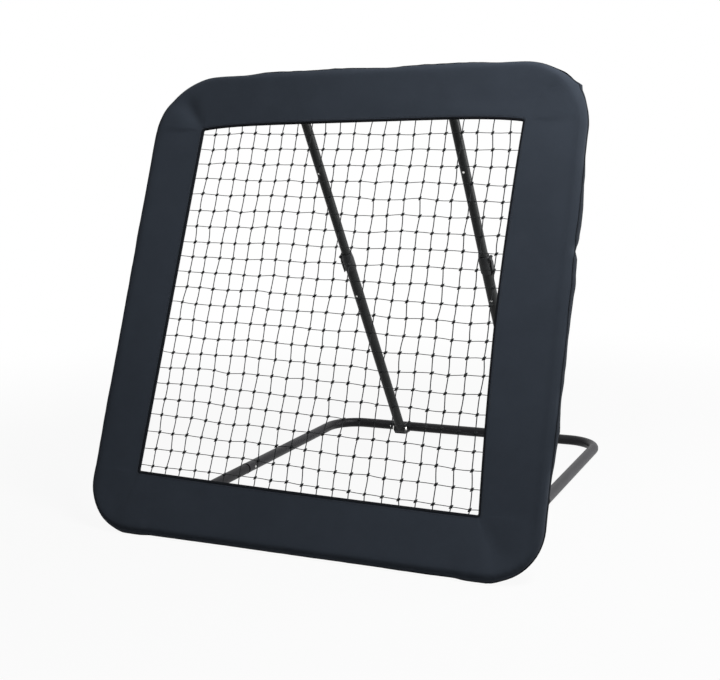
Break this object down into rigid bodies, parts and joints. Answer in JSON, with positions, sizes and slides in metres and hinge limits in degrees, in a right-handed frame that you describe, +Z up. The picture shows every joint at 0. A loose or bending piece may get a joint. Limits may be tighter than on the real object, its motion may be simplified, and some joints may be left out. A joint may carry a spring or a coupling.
{
  "type": "pitch back rebounder",
  "caption": "Free-standing ball rebounder: a sleeved square frame with a knotted net, hinged to a U-shaped ground frame and propped by two telescopic stays with cam-lever collars.",
  "frame": {"origin": "middle of the footprint, on the ground", "axes": "+X across the panel to the right as a player faces it, +Y from the panel back to the rear rail, +Z up"},
  "size_m": [0.9714, 1.0346, 0.9347],
  "materials": {
    "black_steel": "satin black powder coat on steel",
    "grey_steel": "satin dark grey powder coat on steel",
    "zinc": "bright zinc plate",
    "sleeve_cloth": "matte dark woven polyester",
    "binding_tape": "matte woven binding tape",
    "net_cord": "twisted dark cord",
    "black_nylon": "moulded black nylon"
  },
  "bodies": {
    "base": {"hinge_strap_left": "black_steel", "hinge_strap_right": "black_steel", "strap_rivets": "zinc", "leg_plug_left": "black_nylon", "leg_plug_right": "black_nylon", "front_leg_left": "grey_steel", "front_leg_right": "grey_steel", "leg_screws": "zinc", "rear_hoop": "grey_steel", "rail_bracket_left": "black_steel", "rail_bracket_right": "black_steel", "rail_screws": "zinc", "rail_bolts": "zinc", "rail_nuts": "zinc"},
    "panel": {"lower_frame": "black_steel", "upper_frame": "black_steel", "frame_screws": "zinc", "sleeve": "sleeve_cloth", "hem_binding": "binding_tape", "closing_strips": "binding_tape", "net": "net_cord", "top_bracket_left": "black_steel", "top_bracket_right": "black_steel", "top_bolts": "zinc", "top_nuts": "zinc"},
    "lower_stay_left": {"foot_plug_left": "black_nylon", "lower_stay_left": "black_steel", "lower_rivet_left": "zinc", "collar_left": "black_nylon", "lever_pin_left": "black_steel"},
    "upper_stay_left": {"upper_stay_left": "black_steel", "head_plug_left": "black_nylon", "guide_plug_left": "black_nylon", "upper_rivet_left": "zinc"},
    "cam_lever_left": {"cam_lever_left": "black_nylon"},
    "lower_stay_right": {"foot_plug_right": "black_nylon", "lower_stay_right": "black_steel", "lower_rivet_right": "zinc", "collar_right": "black_nylon", "lever_pin_right": "black_steel"},
    "upper_stay_right": {"upper_stay_right": "black_steel", "head_plug_right": "black_nylon", "guide_plug_right": "black_nylon", "upper_rivet_right": "zinc"},
    "cam_lever_right": {"cam_lever_right": "black_nylon"}
  },
  "joints": [
    {"name": "panel_tilt", "type": "hinge", "parent": "base", "child": "panel", "pos_m": [0, -0.50118, 0.01508], "axis": [1, 0, 0], "range_deg": [-15, 12]},
    {"name": "upper_stay_left", "type": "hinge", "parent": "panel", "child": "upper_stay_left", "pos_m": [-0.174, -0.1096, 0.90952], "axis": [1, 0, 0], "range_deg": [-7, 8.5]},
    {"name": "lower_stay_left", "type": "hinge", "parent": "base", "child": "lower_stay_left", "pos_m": [-0.174, 0.47523, 0.01508], "axis": [1, 0, 0], "range_deg": [-8.5, 7]},
    {"name": "cam_lever_left", "type": "hinge", "parent": "lower_stay_left", "child": "cam_lever_left", "pos_m": [-0.1886, 0.14578, 0.51894], "axis": [0, 0.837, 0.5472], "range_deg": [0, 100]},
    {"name": "upper_stay_right", "type": "hinge", "parent": "panel", "child": "upper_stay_right", "pos_m": [0.174, -0.1096, 0.90952], "axis": [1, 0, 0], "range_deg": [-7, 8.5]},
    {"name": "lower_stay_right", "type": "hinge", "parent": "base", "child": "lower_stay_right", "pos_m": [0.174, 0.47523, 0.01508], "axis": [1, 0, 0], "range_deg": [-8.5, 7]},
    {"name": "cam_lever_right", "type": "hinge", "parent": "lower_stay_right", "child": "cam_lever_right", "pos_m": [0.1886, 0.14578, 0.51894], "axis": [0, -0.837, -0.5472], "range_deg": [0, 100]}
  ],
  "couplings": [
    {"joint": "upper_stay_left", "follows": "panel_tilt", "ratio": -0.5},
    {"joint": "lower_stay_left", "follows": "panel_tilt", "ratio": 0.5},
    {"joint": "upper_stay_right", "follows": "panel_tilt", "ratio": -0.5},
    {"joint": "lower_stay_right", "follows": "panel_tilt", "ratio": 0.5}
  ]
}
